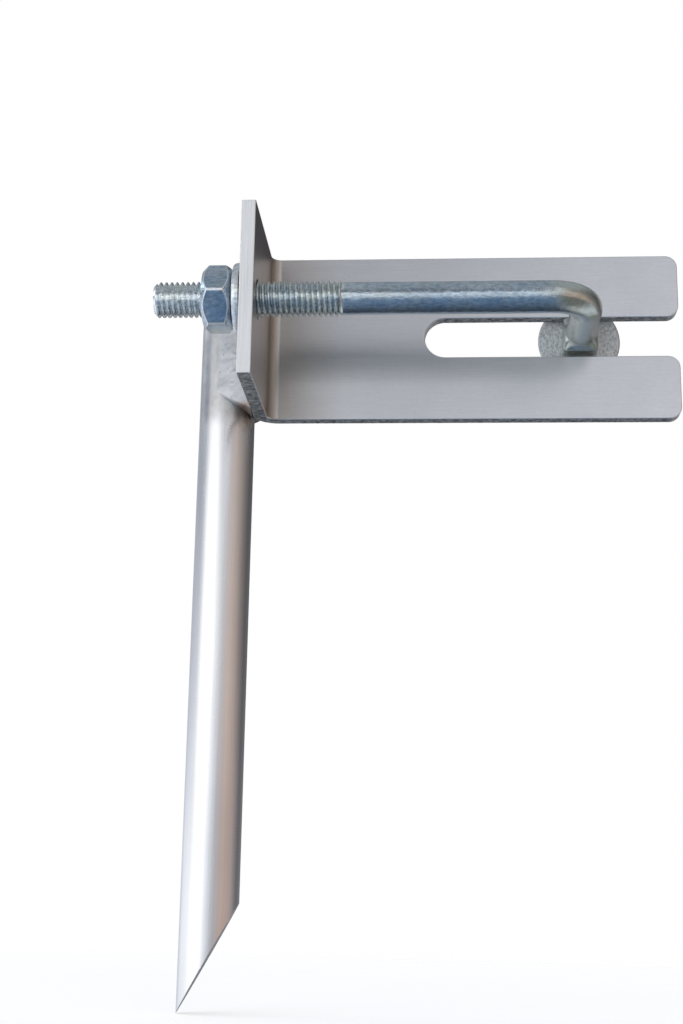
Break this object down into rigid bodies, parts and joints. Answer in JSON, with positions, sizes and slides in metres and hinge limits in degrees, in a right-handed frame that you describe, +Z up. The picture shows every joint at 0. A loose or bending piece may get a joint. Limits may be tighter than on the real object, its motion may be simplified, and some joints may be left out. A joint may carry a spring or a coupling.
{
  "type": "post anchor spike",
  "caption": "Ground spike welded to a slotted angle bracket, with a hooked clamp bolt, washer and nut that draw a post against the flange.",
  "frame": {"origin": "on the spike bar's axis, level with the bracket arm's lower edge", "axes": "+X along the bracket's arm towards its slotted end, +Y from the arm's inner face to its outer face, +Z up along the spike bar, away from its point"},
  "size_m": [0.1479, 0.0509, 0.2154],
  "materials": {
    "plate_aluminium": "satin, brushed along the arm",
    "bar_aluminium": "satin, drawn lengthwise",
    "weld_aluminium": "as welded, rippled, whitish",
    "zinc_steel": "zinc plated, bluish, fairly bright",
    "zinc_bright": "zinc plated, bright"
  },
  "bodies": {
    "anchor": {"angle_bracket": "plate_aluminium", "spike_bar": "bar_aluminium", "rear_weld_bead": "weld_aluminium", "front_weld_bead": "weld_aluminium"},
    "bolt": {"hook_bolt": "zinc_steel"},
    "washer": {"flat_washer": "zinc_bright"},
    "nut": {"hex_nut": "zinc_steel"}
  },
  "joints": [
    {"name": "bolt_slide", "type": "slide", "parent": "anchor", "child": "bolt", "axis": [1, 0, 0], "range_m": [-0.038, 0]},
    {"name": "nut_travel", "type": "slide", "parent": "bolt", "child": "washer", "axis": [1, 0, 0], "range_m": [-0.01201, 0.00001]},
    {"name": "nut_turn", "type": "hinge", "parent": "washer", "child": "nut", "pos_m": [0.0012, -0.0311, 0.025], "axis": [1, 0, 0], "range_deg": [-2880, 0]}
  ],
  "couplings": [
    {"joint": "nut_travel", "follows": "nut_turn", "m_per_rad": 0.00023873}
  ]
}
